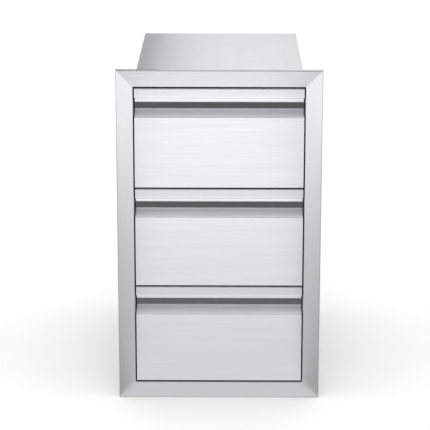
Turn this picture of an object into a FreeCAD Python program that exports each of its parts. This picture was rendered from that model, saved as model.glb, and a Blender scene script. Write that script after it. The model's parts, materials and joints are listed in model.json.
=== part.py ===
import FreeCAD, Part
import math
import os
import Sketcher

# Outdoor kitchen drawer unit: a mitred trim frame, a folded carcass and three drawers on telescopic slides.
# X runs to the right, Y runs back into the island and Z runs up.
# The origin is on the island's face (Y = 0), at the middle of the flat seat of the trim's bottom lip.

doc = FreeCAD.newDocument("OutdoorKitchenDrawerUnit")

# Driving dimensions, in millimetres

DIMENSIONS = {
    # Overall size
    "trim_width": 355,
    "trim_height": 594,
    "unit_depth": 520,
    # Trim frame
    "trim_face": 29,
    "trim_depth": 8,
    "trim_lip": 10,
    # Sheet of the trim and the carcass
    "sheet": 1.2,
    "bend_inside": 0.8,
    "front_flange": 18,
    "rear_flange": 12,
    "rear_tab": 15,
    # Gaps round the drawer fronts
    "side_gap": 2.8,
    "top_gap": 2.8,
    "low_gap": 3,
    "between_gap": 1.8,
    # Drawer front and its finger channel
    "front_depth": 32,
    "front_wall": 1,
    "front_bend_inside": 0.6,
    "lip_height": 17,
    "lip_lean": 0.3,
    "channel_height": 33.3,
    "channel_depth": 23.7,
    "channel_wall_top": 11.3,
    "channel_wall_low": 22.4,
    "channel_low_depth": 21.3,
    "channel_low_bend": 1.4,
    # Liner that closes the back of the front
    "liner_depth": 6,
    "liner_sheet": 0.8,
    # Drawer tub
    "tub_height": 132,
    "tub_rise": 12,
    "tub_sheet": 1,
    "tub_bend_inside": 1.5,
    "tub_rim": 9,
    "tub_hem": 5,
    "tub_tab": 16,
    "tub_tab_gap": 3,
    "tub_back_flange": 14,
    # Telescopic slide
    "slide_rear_gap": 26.6,
    "slide_height": 45,
    "slide_thickness": 12.7,
    "slide_sheet": 1.2,
    "slide_play": 0.3,
    "slide_reach": 10,
    "slide_lip": 3.5,
    "slide_setback": 2,
    "middle_offset": 3,
    "middle_shorter": 20,
    # Rubber stop at the back of each outer slide member
    "stop_length": 8,
    # Screws, for the slides and the fronts alike
    "screw_radius": 1.9,
    "screw_fit": 0.1,
    "head_radius": 3.5,
    "head_height": 1.5,
    "screw_past": 1.8,
    "screw_inset": 60,
    "front_screw_inset": 28,
    # Holes that fix the unit in the island
    "fixing_radius": 2.6,
    "fixing_setback": 36,
}

sheet = doc.addObject("Spreadsheet::Sheet", "dims")
for row, (alias, size) in enumerate(DIMENSIONS.items(), start=1):
    sheet.set("A%d" % row, alias)
    sheet.set("B%d" % row, str(size))
    sheet.setAlias("B%d" % row, alias)
doc.recompute()

# Sizes worked out from the driving ones

TRIM_BOTTOM = "(-(dims.sheet + dims.bend_inside + dims.trim_lip) / 2)"
OPENING_BOTTOM = "(%s + dims.trim_face)" % TRIM_BOTTOM
OPENING_WIDTH = "(dims.trim_width - 2 * dims.trim_face)"
OPENING_HEIGHT = "(dims.trim_height - 2 * dims.trim_face)"
REAR = "(dims.unit_depth - dims.trim_depth)"
FLANGE_FRONT = "(dims.sheet - dims.trim_depth)"
INNER_HALF_WIDTH = "(%s / 2 - dims.sheet)" % OPENING_WIDTH

DRAWERS = 3
GAPS_IN_HEIGHT = "(dims.top_gap + dims.low_gap + %d * dims.between_gap)" % (DRAWERS - 1)
FRONT_HEIGHT = "((%s - %s) / %d)" % (OPENING_HEIGHT, GAPS_IN_HEIGHT, DRAWERS)
FRONT_WIDTH = "(%s - 2 * dims.side_gap)" % OPENING_WIDTH
FRONT_BACK = "(dims.front_depth - dims.trim_depth)"

TUB_HALF_WIDTH = "(%s - dims.slide_thickness)" % INNER_HALF_WIDTH
SLIDE_FRONT = "(%s + dims.slide_setback)" % FRONT_BACK
SLIDE_LENGTH = "(%s - 2 * dims.sheet - dims.slide_rear_gap - %s)" % (REAR, SLIDE_FRONT)
INNER_LENGTH = "(%s - dims.stop_length - dims.slide_play)" % SLIDE_LENGTH
MIDDLE_LENGTH = "(%s - dims.middle_shorter)" % SLIDE_LENGTH
TUB_LENGTH = "(%s + dims.slide_setback)" % INNER_LENGTH
SCREW_HOLE = "(dims.screw_radius + dims.screw_fit)"

# Screws and the holes they pass through have few sides, because there are many of them
SCREW_CORNERS = 8
CORNER_ANGLES = [(corner + 0.5) * 360 / SCREW_CORNERS for corner in range(SCREW_CORNERS)]


def front_bottom(drawer):
    """Height of the bottom edge of a drawer's front; drawer 1 is the top one."""
    steps = DRAWERS - drawer
    return "(%s + dims.low_gap + %d * (%s + dims.between_gap))" % (OPENING_BOTTOM, steps, FRONT_HEIGHT)


def tub_bottom(drawer):
    return "(%s + dims.tub_rise)" % front_bottom(drawer)


def slide_height(drawer):
    """Height of the middle of a drawer's slides, halfway up its tub."""
    return "(%s + dims.tub_height / 2)" % tub_bottom(drawer)


def number(expression):
    """The value that an expression on the sheet has now."""
    return float(sheet.evalExpression(expression))


def times(hand, expression):
    """An expression mirrored for the left side (hand -1) or kept for the right side (hand 1)."""
    return "%d * (%s)" % (hand, expression)


# Small helpers that every sub-part uses

SUB_PARTS = []


def place(part, x, y, z, turn=0):
    """Put a sub-part at sheet-bound coordinates, turned about Y by whole right angles."""
    axis = FreeCAD.Vector(0, 1, 0)
    part.Placement = FreeCAD.Placement(FreeCAD.Vector(0, 0, 0), FreeCAD.Rotation(axis, turn))
    part.setExpression(".Placement.Base.x", x)
    part.setExpression(".Placement.Base.y", y)
    part.setExpression(".Placement.Base.z", z)
    SUB_PARTS.append(part)


def new_body(name, x, y, z, turn=0):
    body = doc.addObject("PartDesign::Body", name)
    body.Label = name
    place(body, x, y, z, turn)
    return body


def origin_plane(body, role):
    return next(item for item in body.Origin.OriginFeatures if item.Role == role)


def new_sketch(body, name, role):
    sketch = body.newObject("Sketcher::SketchObject", name)
    sketch.AttachmentSupport = [(origin_plane(body, role), "")]
    sketch.MapMode = "FlatFace"
    return sketch


def bind_point(sketch, geometry, point, across, along):
    """Tie one point of the sketch to the sheet by its two distances from the sketch's origin."""
    for kind, expression in (("DistanceX", across), ("DistanceY", along)):
        constraint = Sketcher.Constraint(kind, -1, 1, geometry, point, number(expression))
        index = sketch.addConstraint(constraint)
        sketch.setExpression("Constraints[%d]" % index, expression)


def add_outline(sketch, corners):
    """A closed outline of straight lines through corners, each a pair of expressions."""
    points = [FreeCAD.Vector(number(across), number(along), 0) for across, along in corners]
    lines = []
    for start, end in zip(points, points[1:] + points[:1]):
        lines.append(sketch.addGeometry(Part.LineSegment(start, end), False))
    for line, following in zip(lines, lines[1:] + lines[:1]):
        sketch.addConstraint(Sketcher.Constraint("Coincident", line, 2, following, 1))
    for line, (across, along) in zip(lines, corners):
        bind_point(sketch, line, 1, across, along)


def add_circle(sketch, across, along, radius):
    centre = FreeCAD.Vector(number(across), number(along), 0)
    circle = Part.Circle(centre, FreeCAD.Vector(0, 0, 1), number(radius))
    geometry = sketch.addGeometry(circle, False)
    bind_point(sketch, geometry, 3, across, along)
    index = sketch.addConstraint(Sketcher.Constraint("Radius", geometry, number(radius)))
    sketch.setExpression("Constraints[%d]" % index, radius)


def add_screw_hole(sketch, across, along):
    """An outline with the screws' corners, wider than their shanks by the fit."""
    corners = []
    for angle in CORNER_ANGLES:
        corners.append((
            "%s + %s * cos(%g)" % (across, SCREW_HOLE, angle),
            "%s + %s * sin(%g)" % (along, SCREW_HOLE, angle),
        ))
    add_outline(sketch, corners)


def add_pad(body, sketch, length, centred=False, backwards=False):
    pad = body.newObject("PartDesign::Pad", sketch.Name + "_pad")
    pad.Profile = sketch
    pad.Midplane = centred
    pad.Reversed = backwards
    pad.setExpression("Length", length)
    doc.recompute()


def cut_through(body, sketch):
    """Cut the sketch out of the whole body, both ways from the sketch's plane."""
    pocket = body.newObject("PartDesign::Pocket", sketch.Name + "_cut")
    pocket.Profile = sketch
    pocket.Type = "ThroughAll"
    pocket.Midplane = True
    doc.recompute()


NEAR = 1e-4
RUNS_ALONG = {"X": ("y", "z"), "Y": ("x", "z"), "Z": ("x", "y")}


def corner_edges(shape, axis, corners):
    """Names of the straight edges along an axis that pass through the given corners."""
    first, second = RUNS_ALONG[axis]
    places = [(number(across), number(along)) for across, along in corners]
    names = []
    for index, edge in enumerate(shape.Edges, start=1):
        start = edge.Vertexes[0].Point
        end = edge.Vertexes[-1].Point
        level = abs(getattr(start, first) - getattr(end, first)) < NEAR
        level = level and abs(getattr(start, second) - getattr(end, second)) < NEAR
        if not level or start.isEqual(end, NEAR):
            continue
        for across, along in places:
            if abs(getattr(start, first) - across) < NEAR and abs(getattr(start, second) - along) < NEAR:
                names.append("Edge%d" % index)
    return names


def round_corners(body, name, axis, corners, radius):
    """Round the edges of a folded or padded form at the given corners of its profile."""
    base = body.Tip
    fillet = body.newObject("PartDesign::Fillet", name)
    fillet.Base = (base, corner_edges(base.Shape, axis, corners))
    fillet.setExpression("Radius", radius)
    doc.recompute()


def bend(body, axis, outside, inside, inside_radius, thickness):
    """Give a folded sheet its bends: one radius inside, and that plus the sheet outside."""
    round_corners(body, "bends_outside", axis, outside, "(%s + %s)" % (inside_radius, thickness))
    round_corners(body, "bends_inside", axis, inside, inside_radius)


def hollow(body, name, y_of_open_face, wall):
    """Turn a solid form into a shell that is open on its flat face at the given depth."""
    base = body.Tip
    depth = number(y_of_open_face)
    faces = []
    for index, face in enumerate(base.Shape.Faces, start=1):
        box = face.BoundBox
        if abs(box.YMin - depth) < NEAR and abs(box.YMax - depth) < NEAR:
            faces.append("Face%d" % index)
    shell = body.newObject("PartDesign::Thickness", name)
    shell.Base = (base, faces)
    shell.Reversed = True
    shell.Join = "Intersection"
    shell.setExpression("Value", wall)
    doc.recompute()


# Trim frame: four folded channels with mitred ends

def trim_member(name, length, x, z, turn):
    """One member, drawn as the bottom one: outer edge at Z = 0, lip against the island at Y = 0."""
    body = new_body(name, x, "0", z, turn)
    face_front = "-dims.trim_depth"
    face_back = FLANGE_FRONT
    lip_front = "-dims.sheet"
    section = new_sketch(body, "section", "YZ_Plane")
    add_outline(section, [
        ("0", "0"),
        (face_front, "0"),
        (face_front, "dims.trim_face"),
        (face_back, "dims.trim_face"),
        (face_back, "dims.sheet"),
        (lip_front, "dims.sheet"),
        (lip_front, "dims.trim_lip"),
        ("0", "dims.trim_lip"),
    ])
    add_pad(body, section, length, centred=True)
    outside = [("0", "0"), (face_front, "0")]
    inside = [(face_back, "dims.sheet"), (lip_front, "dims.sheet")]
    bend(body, "X", outside, inside, "dims.bend_inside", "dims.sheet")

    spare = "dims.trim_face"
    mitres = new_sketch(body, "mitres", "XZ_Plane")
    for hand in (-1, 1):
        add_outline(mitres, [
            (times(hand, "%s / 2 + %s" % (length, spare)), "-%s" % spare),
            (times(hand, "%s / 2 + %s" % (length, spare)), "dims.trim_face + %s" % spare),
            (times(hand, "%s / 2 - dims.trim_face - %s" % (length, spare)), "dims.trim_face + %s" % spare),
        ])
    cut_through(body, mitres)


TRIM_MIDDLE = "%s + dims.trim_height / 2" % TRIM_BOTTOM

trim_member("trim_bottom", "dims.trim_width", "0", TRIM_BOTTOM, 0)
trim_member("trim_top", "dims.trim_width", "0", "%s + dims.trim_height" % TRIM_BOTTOM, 180)
trim_member("trim_left", "dims.trim_height", "-dims.trim_width / 2", TRIM_MIDDLE, 90)
trim_member("trim_right", "dims.trim_height", "dims.trim_width / 2", TRIM_MIDDLE, -90)


# Carcass: top and bottom decks, two sides and a back, welded face to face

def carcass_deck(name, z, turn):
    """A deck drawn as the top one: the flange behind the trim turns up, the rear flange turns down."""
    body = new_body(name, "0", "0", z, turn)
    flange_back = "%s + dims.sheet" % FLANGE_FRONT
    under = "-dims.sheet"
    rear_inside = "%s - dims.sheet" % REAR
    profile = new_sketch(body, "side_view", "YZ_Plane")
    add_outline(profile, [
        (FLANGE_FRONT, under),
        (FLANGE_FRONT, "dims.front_flange"),
        (flange_back, "dims.front_flange"),
        (flange_back, "0"),
        (REAR, "0"),
        (REAR, "-dims.rear_flange"),
        (rear_inside, "-dims.rear_flange"),
        (rear_inside, under),
    ])
    add_pad(body, profile, OPENING_WIDTH, centred=True)
    outside = [(FLANGE_FRONT, under), (REAR, "0")]
    inside = [(flange_back, "0"), (rear_inside, under)]
    bend(body, "X", outside, inside, "dims.bend_inside", "dims.sheet")


SIDE_BOTTOM = "(%s + dims.sheet)" % OPENING_BOTTOM
SIDE_HEIGHT = "(%s - 2 * dims.sheet)" % OPENING_HEIGHT


def carcass_side(name, hand):
    """A side panel: its front flange turns out behind the trim, its rear tab turns in."""
    body = new_body(name, times(hand, OPENING_WIDTH + " / 2"), "0", SIDE_BOTTOM)
    flange_back = "%s + dims.sheet" % FLANGE_FRONT
    wall_inside = times(hand, "-dims.sheet")
    flange_tip = times(hand, "dims.front_flange")
    tab_tip = times(hand, "-dims.rear_tab")
    tab_back = "%s - 2 * dims.sheet" % REAR
    tab_front = "%s - 3 * dims.sheet" % REAR
    profile = new_sketch(body, "top_view", "XY_Plane")
    add_outline(profile, [
        (flange_tip, FLANGE_FRONT),
        (wall_inside, FLANGE_FRONT),
        (wall_inside, tab_front),
        (tab_tip, tab_front),
        (tab_tip, tab_back),
        ("0", tab_back),
        ("0", flange_back),
        (flange_tip, flange_back),
    ])
    add_pad(body, profile, SIDE_HEIGHT)
    outside = [(wall_inside, FLANGE_FRONT), ("0", tab_back)]
    inside = [("0", flange_back), (wall_inside, tab_front)]
    bend(body, "Z", outside, inside, "dims.bend_inside", "dims.sheet")

    holes = new_sketch(body, "holes", "YZ_Plane")
    for drawer in range(2, DRAWERS + 1):
        level = "%s + %s - %s" % (front_bottom(drawer), FRONT_HEIGHT, SIDE_BOTTOM)
        add_circle(holes, "dims.fixing_setback", level, "dims.fixing_radius")
    for drawer in range(1, DRAWERS + 1):
        for along in slide_screw_places():
            add_screw_hole(holes, along, "%s - %s" % (slide_height(drawer), SIDE_BOTTOM))
    cut_through(body, holes)


def slide_screw_places():
    """Depths of the two screws in each slide member, one near each end."""
    return (
        "%s + dims.screw_inset" % SLIDE_FRONT,
        "%s + %s - dims.screw_inset" % (SLIDE_FRONT, INNER_LENGTH),
    )


def carcass_back():
    """A flat panel against the decks' rear flanges, clear of their bends, behind the sides' rear tabs."""
    back = doc.addObject("Part::Box", "carcass_back")
    back.Label = "carcass_back"
    back.setExpression("Length", OPENING_WIDTH)
    back.setExpression("Width", "dims.sheet")
    back.setExpression("Height", "%s - 2 * dims.bend_inside" % SIDE_HEIGHT)
    low = "%s + dims.bend_inside" % SIDE_BOTTOM
    place(back, "-%s / 2" % OPENING_WIDTH, "%s - 2 * dims.sheet" % REAR, low)


carcass_deck("carcass_top", "%s + %s" % (OPENING_BOTTOM, OPENING_HEIGHT), 0)
carcass_deck("carcass_bottom", OPENING_BOTTOM, 180)
carcass_side("carcass_left", -1)
carcass_side("carcass_right", 1)
carcass_back()


# Telescopic slides: three folded members that hook into each other with a little play
# Their sections are drawn with "out" running from the carcass wall towards the drawer.

HALF_SLIDE = "(dims.slide_height / 2)"
MIDDLE_HALF = "(%s - dims.slide_sheet - dims.slide_play)" % HALF_SLIDE
MIDDLE_LOW = "(%s - dims.slide_lip - dims.slide_play)" % HALF_SLIDE
MIDDLE_STEP = "(dims.slide_reach - dims.slide_sheet - dims.slide_play)"
MIDDLE_REACH = "(dims.slide_thickness - dims.slide_sheet - dims.slide_play)"
INNER_HALF = "(%s - dims.slide_sheet - dims.slide_play)" % MIDDLE_LOW
INNER_HOOK = "(%s - dims.slide_sheet - dims.slide_play)" % MIDDLE_STEP


def mirrored(upper_half):
    """The whole section from its upper half, which is listed from the open tip to the other."""
    lower_half = [(out, "-(%s)" % up) for out, up in reversed(upper_half)]
    return upper_half + lower_half


def slide_member(name, drawer, hand, upper_half, length):
    """A folded member along Y on one side of a drawer, from its section's upper half."""
    wall = times(hand, INNER_HALF_WIDTH)
    body = new_body(name, wall, SLIDE_FRONT, slide_height(drawer))
    section = new_sketch(body, "section", "XZ_Plane")
    corners = [(times(-hand, out), up) for out, up in mirrored(upper_half)]
    add_outline(section, corners)
    add_pad(body, section, length, backwards=True)
    return body


def outer_section():
    """A channel against the carcass wall, with lips that turn in at its open side."""
    gauge = "dims.slide_sheet"
    lip_tip = "%s - dims.slide_lip" % HALF_SLIDE
    lip_inside = "dims.slide_reach - %s" % gauge
    under_flange = "%s - %s" % (HALF_SLIDE, gauge)
    return [
        ("0", HALF_SLIDE),
        ("dims.slide_reach", HALF_SLIDE),
        ("dims.slide_reach", lip_tip),
        (lip_inside, lip_tip),
        (lip_inside, under_flange),
        (gauge, under_flange),
    ]


def middle_section():
    """A channel inside the outer one, stepped in to pass under the outer one's lips."""
    gauge = "dims.slide_sheet"
    return [
        ("dims.middle_offset", MIDDLE_HALF),
        (MIDDLE_STEP, MIDDLE_HALF),
        (MIDDLE_STEP, MIDDLE_LOW),
        (MIDDLE_REACH, MIDDLE_LOW),
        (MIDDLE_REACH, "%s - %s" % (MIDDLE_LOW, gauge)),
        ("%s - %s" % (MIDDLE_STEP, gauge), "%s - %s" % (MIDDLE_LOW, gauge)),
        ("%s - %s" % (MIDDLE_STEP, gauge), "%s - %s" % (MIDDLE_HALF, gauge)),
        ("dims.middle_offset + %s" % gauge, "%s - %s" % (MIDDLE_HALF, gauge)),
    ]


def inner_section():
    """A channel on the tub's side, with hooks that turn out into the middle one's pockets."""
    gauge = "dims.slide_sheet"
    hook_tip = "%s - %s - dims.slide_play" % (MIDDLE_HALF, gauge)
    return [
        ("dims.slide_thickness", INNER_HALF),
        (INNER_HOOK, INNER_HALF),
        (INNER_HOOK, hook_tip),
        ("%s - %s" % (INNER_HOOK, gauge), hook_tip),
        ("%s - %s" % (INNER_HOOK, gauge), "%s - %s" % (INNER_HALF, gauge)),
        ("dims.slide_thickness - %s" % gauge, "%s - %s" % (INNER_HALF, gauge)),
    ]


def screw_holes_along(body, depths):
    """Holes through a member's web, on its centre line."""
    holes = new_sketch(body, "screw_holes", "YZ_Plane")
    for depth in depths:
        add_screw_hole(holes, "%s - %s" % (depth, SLIDE_FRONT), "0")
    cut_through(body, holes)


SIDES = {"left": -1, "right": 1}

for drawer in range(1, DRAWERS + 1):
    for side, hand in SIDES.items():
        label = "slide_%d_%s" % (drawer, side)
        outer = slide_member(label + "_outer", drawer, hand, outer_section(), SLIDE_LENGTH)
        screw_holes_along(outer, slide_screw_places())
        slide_member(label + "_middle", drawer, hand, middle_section(), MIDDLE_LENGTH)
        inner = slide_member(label + "_inner", drawer, hand, inner_section(), INNER_LENGTH)
        screw_holes_along(inner, slide_screw_places())


# Drawer front: one folded sheet, shelled from a solid form with a groove across it

def drawer_front(drawer):
    """Lip at the top, leaning out a little; finger channel below it; main panel; open at the back."""
    body = new_body("drawer_%d_front" % drawer, "0", "-dims.trim_depth", front_bottom(drawer))
    lip_bottom = "%s - dims.lip_height" % FRONT_HEIGHT
    panel_top = "%s - dims.channel_height" % lip_bottom
    wall_top = "%s - dims.channel_wall_top" % lip_bottom
    wall_low = "%s - dims.channel_wall_low" % lip_bottom
    foot = ("0", "0")
    panel_edge = ("0", panel_top)
    channel_foot = ("dims.channel_low_depth", wall_low)
    channel_head = ("dims.channel_depth", wall_top)
    lip_edge = ("dims.lip_lean", lip_bottom)
    head = ("0", FRONT_HEIGHT)
    profile = new_sketch(body, "side_view", "YZ_Plane")
    add_outline(profile, [
        foot,
        panel_edge,
        channel_foot,
        channel_head,
        lip_edge,
        head,
        ("dims.front_depth", FRONT_HEIGHT),
        ("dims.front_depth", "0"),
    ])
    add_pad(body, profile, FRONT_WIDTH, centred=True)
    outer_bend = "(dims.front_bend_inside + dims.front_wall)"
    round_corners(body, "outward_bends", "X", [foot, panel_edge, lip_edge, head], outer_bend)
    round_corners(body, "inward_bend", "X", [channel_head], "dims.front_bend_inside")
    round_corners(body, "channel_low_bend", "X", [channel_foot], "dims.channel_low_bend")
    hollow(body, "sheet", "dims.front_depth", "dims.front_wall")


# Liner: a shallow pan that closes the back of the front

LINER_HALF_WIDTH = "(%s / 2 - dims.front_wall)" % FRONT_WIDTH
LINER_HEIGHT = "(%s - 2 * dims.front_wall)" % FRONT_HEIGHT


def front_screw_places(drawer):
    """Two screws through each of the tub's front tabs, as pairs of X and height."""
    middle = "%s - dims.tub_tab / 2" % TUB_HALF_WIDTH
    levels = (
        "%s + dims.front_screw_inset" % tub_bottom(drawer),
        "%s + dims.tub_height - dims.front_screw_inset" % tub_bottom(drawer),
    )
    return [(times(hand, middle), level) for hand in SIDES.values() for level in levels]


def drawer_liner(drawer):
    low = "%s + dims.front_wall" % front_bottom(drawer)
    body = new_body("drawer_%d_liner" % drawer, "0", FRONT_BACK, low)
    outline = new_sketch(body, "back_view", "XZ_Plane")
    corners = [
        ("-%s" % LINER_HALF_WIDTH, "0"),
        (LINER_HALF_WIDTH, "0"),
        (LINER_HALF_WIDTH, LINER_HEIGHT),
        ("-%s" % LINER_HALF_WIDTH, LINER_HEIGHT),
    ]
    add_outline(outline, corners)
    add_pad(body, outline, "dims.liner_depth")
    hollow(body, "pan", "-dims.liner_depth", "dims.liner_sheet")
    holes = new_sketch(body, "screw_holes", "XZ_Plane")
    for across, level in front_screw_places(drawer):
        add_screw_hole(holes, across, "%s - (%s)" % (level, low))
    cut_through(body, holes)


# Drawer tub: bottom and sides from one sheet, with rims that turn in and down, and front tabs

def drawer_tub(drawer):
    body = new_body("drawer_%d_tub" % drawer, "0", FRONT_BACK, tub_bottom(drawer))
    gauge = "dims.tub_sheet"
    half = TUB_HALF_WIDTH
    half_inside = "%s - %s" % (half, gauge)
    rim_tip = "%s - dims.tub_rim" % half
    rim_inside = "%s + %s" % (rim_tip, gauge)
    under_rim = "dims.tub_height - %s" % gauge
    hem_tip = "dims.tub_height - dims.tub_hem"
    right_side = [
        (half, "0"),
        (half, "dims.tub_height"),
        (rim_tip, "dims.tub_height"),
        (rim_tip, hem_tip),
        (rim_inside, hem_tip),
        (rim_inside, under_rim),
        (half_inside, under_rim),
        (half_inside, gauge),
    ]
    left_side = [("-(%s)" % across, up) for across, up in reversed(right_side)]
    section = new_sketch(body, "section", "XZ_Plane")
    add_outline(section, right_side + left_side)
    add_pad(body, section, TUB_LENGTH, backwards=True)
    outside = [(times(hand, half), up) for hand in SIDES.values() for up in ("0", "dims.tub_height")]
    inside = [(times(hand, half_inside), up) for hand in SIDES.values() for up in (gauge, under_rim)]
    bend(body, "Y", outside, inside, "dims.tub_bend_inside", gauge)

    tabs = new_sketch(body, "front_tabs", "XZ_Plane")
    tab_low = "%s + dims.tub_bend_inside + dims.tub_tab_gap" % gauge
    tab_high = "%s - dims.tub_tab_gap" % hem_tip
    tab_tip = "%s - dims.tub_tab" % half
    for hand in SIDES.values():
        add_outline(tabs, [
            (times(hand, half_inside), tab_low),
            (times(hand, half_inside), tab_high),
            (times(hand, tab_tip), tab_high),
            (times(hand, tab_tip), tab_low),
        ])
    add_pad(body, tabs, gauge, backwards=True)

    front_holes = new_sketch(body, "front_holes", "XZ_Plane")
    for across, level in front_screw_places(drawer):
        add_screw_hole(front_holes, across, "%s - %s" % (level, tub_bottom(drawer)))
    cut_through(body, front_holes)
    side_holes = new_sketch(body, "side_holes", "YZ_Plane")
    for depth in slide_screw_places():
        add_screw_hole(side_holes, "%s - %s" % (depth, FRONT_BACK), "dims.tub_height / 2")
    cut_through(body, side_holes)


def drawer_back(drawer):
    """A back panel between the tub's sides, with flanges that turn forward along them."""
    gauge = "dims.tub_sheet"
    above_bends = "(%s + dims.tub_bend_inside)" % gauge
    y = "%s + %s" % (FRONT_BACK, TUB_LENGTH)
    body = new_body("drawer_%d_back" % drawer, "0", y, "%s + %s" % (tub_bottom(drawer), above_bends))
    half = "%s - %s" % (TUB_HALF_WIDTH, gauge)
    half_inside = "%s - %s" % (half, gauge)
    right_side = [
        (half, "0"),
        (half, "-dims.tub_back_flange"),
        (half_inside, "-dims.tub_back_flange"),
        (half_inside, "-%s" % gauge),
    ]
    left_side = [("-(%s)" % across, along) for across, along in reversed(right_side)]
    profile = new_sketch(body, "top_view", "XY_Plane")
    add_outline(profile, right_side + left_side)
    add_pad(body, profile, "dims.tub_height - %s - dims.tub_hem - dims.tub_tab_gap" % above_bends)
    outside = [(times(hand, half), "0") for hand in SIDES.values()]
    inside = [(times(hand, half_inside), "-%s" % gauge) for hand in SIDES.values()]
    bend(body, "Z", outside, inside, "dims.tub_bend_inside", gauge)


for drawer in range(1, DRAWERS + 1):
    drawer_front(drawer)
    drawer_liner(drawer)
    drawer_tub(drawer)
    drawer_back(drawer)


# Fasteners and stops: groups of like solids

def group(name, solids):
    part = doc.addObject("Part::Feature", name)
    part.Label = name
    part.Shape = Part.makeCompound(solids)
    SUB_PARTS.append(part)


def prism(radius, length, seat, towards):
    """A straight solid with the screws' corners, from the seat along a direction."""
    turn = FreeCAD.Rotation(FreeCAD.Vector(0, 0, 1), towards)
    corners = []
    for angle in CORNER_ANGLES:
        across = radius * math.cos(math.radians(angle))
        along = radius * math.sin(math.radians(angle))
        corners.append(seat + turn.multVec(FreeCAD.Vector(across, along, 0)))
    outline = Part.makePolygon(corners + corners[:1])
    return Part.Face(outline).extrude(towards * length)


def screw(x, y, z, direction, grip):
    """A flat-headed screw whose head sits at x, y, z; its shank runs along direction through the grip."""
    seat = FreeCAD.Vector(number(x), number(y), number(z))
    towards = FreeCAD.Vector(*direction)
    shank = prism(number("dims.screw_radius"), number(grip) + number("dims.screw_past"), seat, towards)
    head = prism(number("dims.head_radius"), number("dims.head_height"), seat, -towards)
    return head.fuse(shank).removeSplitter()


def slide_screws(drawer, x_from_wall, outward, grip):
    """The four screws of one drawer's slides at a given distance from the carcass wall."""
    screws = []
    for hand in SIDES.values():
        across = times(hand, "%s - (%s)" % (INNER_HALF_WIDTH, x_from_wall))
        for depth in slide_screw_places():
            screws.append(screw(across, depth, slide_height(drawer), (hand * outward, 0, 0), grip))
    return screws


cabinet_screws = []
stops = []
stop_width = number("dims.slide_reach - 2 * dims.slide_sheet")
stop_height = number("dims.slide_height - 2 * dims.slide_sheet")
for drawer in range(1, DRAWERS + 1):
    cabinet_screws += slide_screws(drawer, "dims.slide_sheet", 1, "dims.sheet + dims.slide_sheet")
    for hand in SIDES.values():
        web = number(times(hand, "%s - dims.slide_sheet" % INNER_HALF_WIDTH))
        left = web if hand < 0 else web - stop_width
        rear = number("%s + %s - dims.stop_length" % (SLIDE_FRONT, SLIDE_LENGTH))
        low = number(slide_height(drawer)) - stop_height / 2
        corner = FreeCAD.Vector(left, rear, low)
        stops.append(Part.makeBox(stop_width, number("dims.stop_length"), stop_height, corner))
group("cabinet_screws", cabinet_screws)
group("slide_stops", stops)

for drawer in range(1, DRAWERS + 1):
    web = "dims.slide_thickness - dims.slide_sheet"
    grip = "dims.slide_sheet + dims.tub_sheet"
    group("drawer_%d_slide_screws" % drawer, slide_screws(drawer, web, -1, grip))
    front_screws = []
    for across, level in front_screw_places(drawer):
        seat = "%s + dims.tub_sheet" % FRONT_BACK
        grip = "dims.tub_sheet + dims.liner_sheet"
        front_screws.append(screw(across, seat, level, (0, -1, 0), grip))
    group("drawer_%d_front_screws" % drawer, front_screws)

# Check every object, then write each sub-part to its own file

doc.recompute()
for item in doc.Objects:
    if "Invalid" in item.State or "Error" in item.State:
        raise RuntimeError("%s failed: %s" % (item.Name, item.State))
for part in SUB_PARTS:
    if part.Shape.isNull() or not part.Shape.isValid():
        raise RuntimeError("%s has no valid shape" % part.Label)

os.makedirs("parts", exist_ok=True)
for part in SUB_PARTS:
    part.Shape.exportStep("parts/%s.step" % part.Label)
print("%d sub-parts, %d solids" % (len(SUB_PARTS), sum(len(part.Shape.Solids) for part in SUB_PARTS)))
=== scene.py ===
# %% [markdown]
# Outdoor kitchen drawer unit
#
# This notebook dresses a finished construction: a stainless steel unit of three drawers that is built
# into an outdoor kitchen. Every piece comes from the construction at its real size and stays where it is.
# What is made here is how it looks: the brushed and mill finishes of the sheet steel, the plated slides,
# the screws with their recesses and threads, the rubber stops, the studio and the camera.
#
# X runs to the right, Y runs back into the island, Z runs up, and one unit is one metre.

# %% Load the construction
import json
import math

import bmesh
import bpy
from mathutils import Matrix, Vector


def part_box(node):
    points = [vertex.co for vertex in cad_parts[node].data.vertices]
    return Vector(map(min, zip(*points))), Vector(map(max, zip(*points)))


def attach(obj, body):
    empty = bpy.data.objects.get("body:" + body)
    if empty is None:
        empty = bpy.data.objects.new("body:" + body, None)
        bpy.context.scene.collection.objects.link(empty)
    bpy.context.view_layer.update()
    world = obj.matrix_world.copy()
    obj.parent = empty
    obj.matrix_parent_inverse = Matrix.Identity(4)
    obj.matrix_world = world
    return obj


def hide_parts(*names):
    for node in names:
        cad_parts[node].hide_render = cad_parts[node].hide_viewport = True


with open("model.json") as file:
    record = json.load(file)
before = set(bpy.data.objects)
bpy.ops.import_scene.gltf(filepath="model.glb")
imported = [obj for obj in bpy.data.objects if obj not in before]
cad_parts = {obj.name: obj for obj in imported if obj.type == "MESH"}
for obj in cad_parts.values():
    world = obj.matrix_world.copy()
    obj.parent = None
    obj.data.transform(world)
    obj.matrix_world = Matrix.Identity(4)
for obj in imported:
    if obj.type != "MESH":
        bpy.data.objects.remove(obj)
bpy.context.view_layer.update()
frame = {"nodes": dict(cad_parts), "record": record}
nodes = frame["nodes"]
MM = 0.001

# %% [markdown]
# Colours
#
# Colours are written as a painter's hex code, which is how a screen shows them. Blender's shaders work in
# linear light, so one function turns the code into linear values. Everything on this unit is close to
# neutral grey, because stainless steel only mirrors the studio around it.

# %% Turn a hex colour to linear light
def linear(code):
    """The linear red, green, blue and alpha of an sRGB hex code such as D8D9DA."""
    channels = [int(code[place:place + 2], 16) / 255 for place in (0, 2, 4)]
    low_end = 0.04045
    bright = [c / 12.92 if c <= low_end else ((c + 0.055) / 1.055) ** 2.4 for c in channels]
    return (*bright, 1.0)


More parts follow.
